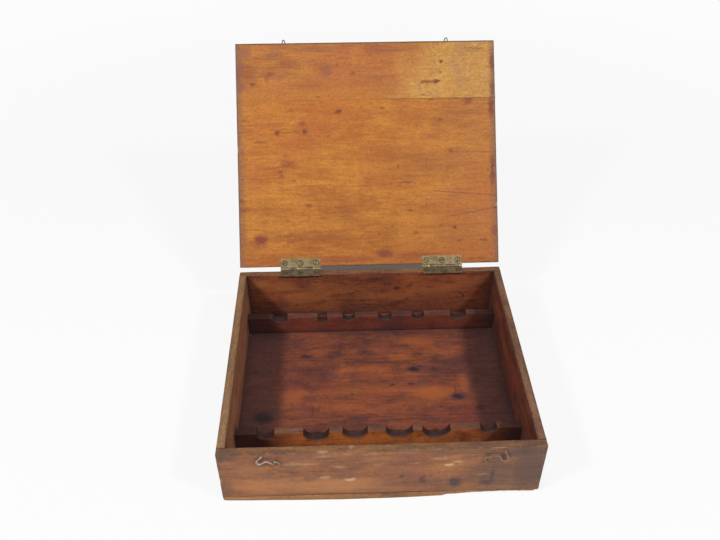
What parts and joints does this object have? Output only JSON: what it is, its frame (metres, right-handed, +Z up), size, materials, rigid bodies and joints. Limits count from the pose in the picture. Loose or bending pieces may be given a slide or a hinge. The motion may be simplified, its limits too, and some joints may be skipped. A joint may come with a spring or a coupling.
{
  "type": "tool chest",
  "caption": "Shallow wooden tool chest with a hinged lid, notched tool racks across the inside and wire hooks that catch staples in the lid.",
  "frame": {"origin": "centre of the underside of the chest, on the surface it stands on", "axes": "+X to the right seen from the front, +Y to the back where the hinges are, +Z up"},
  "size_m": [0.325, 0.4738, 0.2962],
  "materials": {
    "wall_wood": "old worn wax",
    "bottom_wood": "old oily wood",
    "rack_wood": "old oily wood",
    "lid_wood": "worn varnish",
    "hinge_brass": "tarnished",
    "screw_brass": "tarnished",
    "hook_wire": "dull wire",
    "nail_iron": "rusty"
  },
  "bodies": {
    "chest": {"front_wall": "wall_wood", "rear_wall": "wall_wood", "left_wall": "wall_wood", "right_wall": "wall_wood", "bottom_board_front": "bottom_wood", "bottom_board_rear": "bottom_wood", "front_tool_rack": "rack_wood", "rear_tool_rack": "rack_wood", "left_hinge_chest_leaf": "hinge_brass", "left_hinge_pin": "hinge_brass", "left_hinge_chest_screws": "screw_brass", "left_hook_pivot": "nail_iron", "right_hinge_chest_leaf": "hinge_brass", "right_hinge_pin": "hinge_brass", "right_hinge_chest_screws": "screw_brass", "right_hook_pivot": "nail_iron", "front_wall_nails": "nail_iron", "rear_wall_nails": "nail_iron", "bottom_nails": "nail_iron", "front_rack_nails": "nail_iron", "rear_rack_nails": "nail_iron"},
    "lid": {"lid_front_board": "lid_wood", "lid_rear_board": "lid_wood", "left_hinge_lid_leaf": "hinge_brass", "left_hinge_lid_screws": "screw_brass", "left_lid_staple": "hook_wire", "right_hinge_lid_leaf": "hinge_brass", "right_hinge_lid_screws": "screw_brass", "right_lid_staple": "hook_wire"},
    "left_hook": {"left_hook": "hook_wire"},
    "right_hook": {"right_hook": "hook_wire"}
  },
  "joints": [
    {"name": "lid_hinge", "type": "hinge", "parent": "chest", "child": "lid", "pos_m": [0, 0.1429, 0.07515], "axis": [-1, 0, 0], "range_deg": [-129.2, 60]},
    {"name": "left_hook_swing", "type": "hinge", "parent": "chest", "child": "left_hook", "pos_m": [-0.104, -0.1419, 0.06239], "axis": [0, 1, 0], "range_deg": [-90, 65]},
    {"name": "right_hook_swing", "type": "hinge", "parent": "chest", "child": "right_hook", "pos_m": [0.104, -0.1419, 0.06018], "axis": [0, -1, 0], "range_deg": [-90, 66]}
  ]
}
